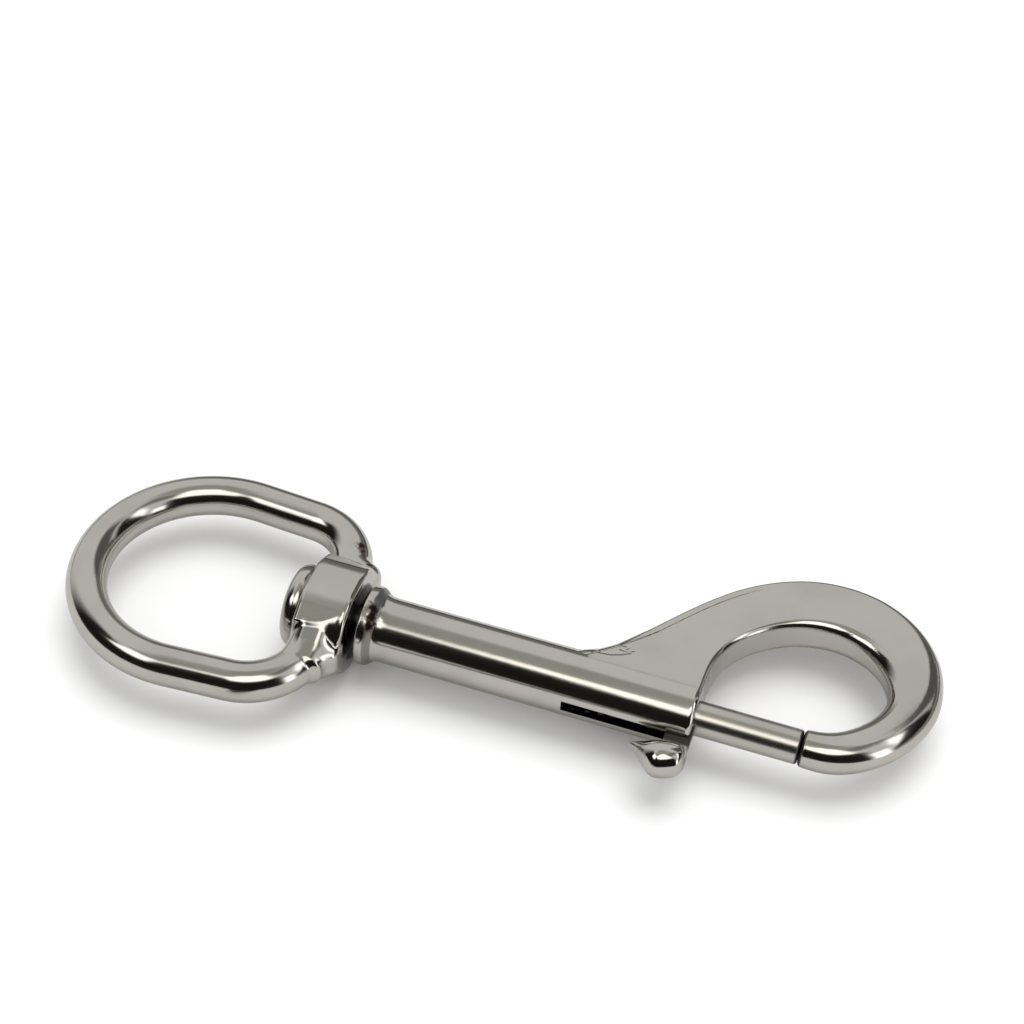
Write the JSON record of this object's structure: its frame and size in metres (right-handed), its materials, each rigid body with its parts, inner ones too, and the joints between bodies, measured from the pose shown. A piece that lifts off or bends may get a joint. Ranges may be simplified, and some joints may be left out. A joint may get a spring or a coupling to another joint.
{
  "type": "swivel bolt snap",
  "caption": "Swivel-eye bolt snap: a sprung bolt with a thumb knob closes a round hook, and the strap eye turns on a headed rivet behind the barrel.",
  "frame": {"origin": "centre of the eye's round end, on the barrel axis", "axes": "+X along the barrel axis from the eye to the hook, +Y to the hook's bulging side, +Z square to the plane of the eye and the hook"},
  "size_m": [0.1193, 0.0484, 0.013],
  "materials": {
    "nickel_plate": "polished bright nickel plate over a zinc casting",
    "spring_steel": "drawn spring wire"
  },
  "bodies": {
    "hook": {"hook_body": "nickel_plate", "swivel_rivet": "nickel_plate", "bolt_spring": "spring_steel"},
    "eye": {"swivel_eye": "nickel_plate"},
    "bolt": {"lock_bolt": "nickel_plate", "thumb_knob": "nickel_plate"}
  },
  "joints": [
    {"name": "eye_swivel", "type": "hinge", "parent": "hook", "child": "eye", "pos_m": [0.0184, 0, 0], "axis": [1, 0, 0], "continuous": true},
    {"name": "bolt_slide", "type": "slide", "parent": "hook", "child": "bolt", "axis": [-1, 0, 0], "range_m": [0, 0.014], "stiffness_N_per_m": 300, "springref_m": -0.008, "deforming": ["bolt_spring"]}
  ]
}
